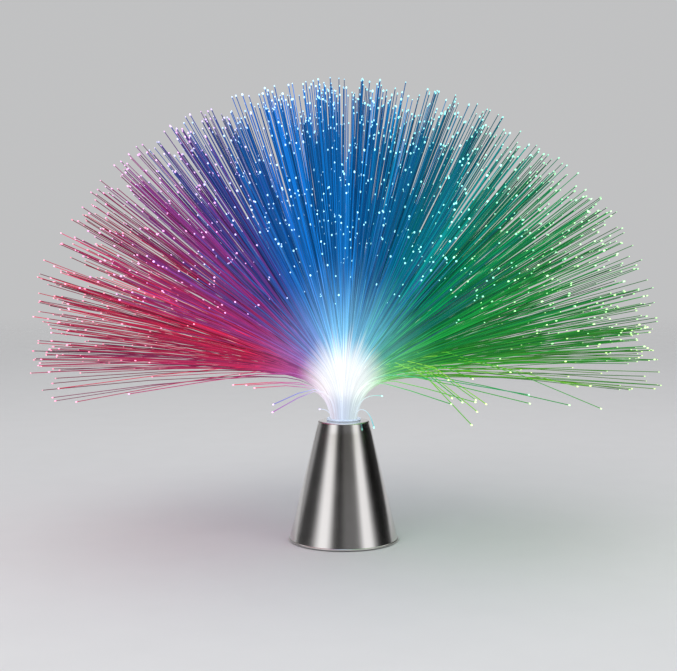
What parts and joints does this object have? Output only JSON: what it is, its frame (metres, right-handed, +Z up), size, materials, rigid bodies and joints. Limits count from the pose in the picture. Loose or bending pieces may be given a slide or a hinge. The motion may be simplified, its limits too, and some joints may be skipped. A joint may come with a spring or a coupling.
{
  "type": "fiber optic lamp",
  "caption": "Battery table lamp: a polished steel cone holds coloured lamps under a bundle of plastic fibres that fans out into a wide glowing spray.",
  "frame": {"origin": "centre of the footprint, on the surface that the feet stand on", "axes": "+Z up along the cone and the bundle, -Y towards the picture's viewer, +X to the viewer's right, where the fibres are green"},
  "size_m": [0.4812, 0.429, 0.3433],
  "materials": {
    "spun_steel": "polished, with fine turning marks round the cone",
    "clear_plastic": "clear, polished",
    "bright_aluminium": "bright, crimped",
    "fibre_red": "clear fibre lit red to violet, with bright cut tips",
    "fibre_blue": "clear fibre lit blue to cyan, with bright cut tips",
    "fibre_green": "clear fibre lit cyan to green, with bright cut tips",
    "white_plastic": "moulded, satin",
    "circuit_board": "green solder mask",
    "lens_red": "moulded lens, lit",
    "lens_blue": "moulded lens, lit",
    "lens_green": "moulded lens, lit",
    "chip_ceramic": "matte, tinned ends",
    "zinc_screw": "zinc plated",
    "black_moulding": "fine spark-eroded grain",
    "cell_sleeve": "plain two-colour shrink sleeve",
    "nickel_sheet": "nickel plated",
    "spring_wire": "nickel plated wire",
    "wire_red": "satin insulation",
    "wire_black": "satin insulation",
    "switch_metal": "tinned",
    "knob_plastic": "moulded, ribbed",
    "foot_rubber": "matte"
  },
  "bodies": {
    "base": {"cone_shell": "spun_steel", "top_collar": "clear_plastic", "bundle_ferrule": "bright_aluminium", "fibres_left": "fibre_red", "fibres_centre": "fibre_blue", "fibres_right": "fibre_green", "light_tube": "white_plastic", "led_board": "circuit_board", "led_red": "lens_red", "led_blue": "lens_blue", "led_green": "lens_green", "board_resistors": "chip_ceramic", "board_screws": "zinc_screw", "tube_screws": "zinc_screw", "battery_housing": "black_moulding", "cell_1": "cell_sleeve", "cell_2": "cell_sleeve", "cell_3": "cell_sleeve", "terminal_plus": "nickel_sheet", "terminal_minus": "nickel_sheet", "link_front": "nickel_sheet", "link_back": "nickel_sheet", "spring_1": "spring_wire", "spring_2": "spring_wire", "spring_3": "spring_wire", "wire_battery": "wire_red", "wire_switched": "wire_red", "wire_return": "wire_black", "switch_body": "switch_metal", "switch_screws": "zinc_screw", "rubber_feet": "foot_rubber"},
    "door": {"battery_door": "black_moulding", "door_screw": "zinc_screw"},
    "slider": {"switch_slider": "knob_plastic"}
  },
  "joints": [
    {"name": "door_hinge", "type": "hinge", "parent": "base", "child": "door", "pos_m": [0, -0.03025, 0.0012], "axis": [-1, 0, 0], "range_deg": [0, 60]},
    {"name": "switch_slide", "type": "slide", "parent": "base", "child": "slider", "axis": [0, 1, 0], "range_m": [0, 0.003]}
  ]
}
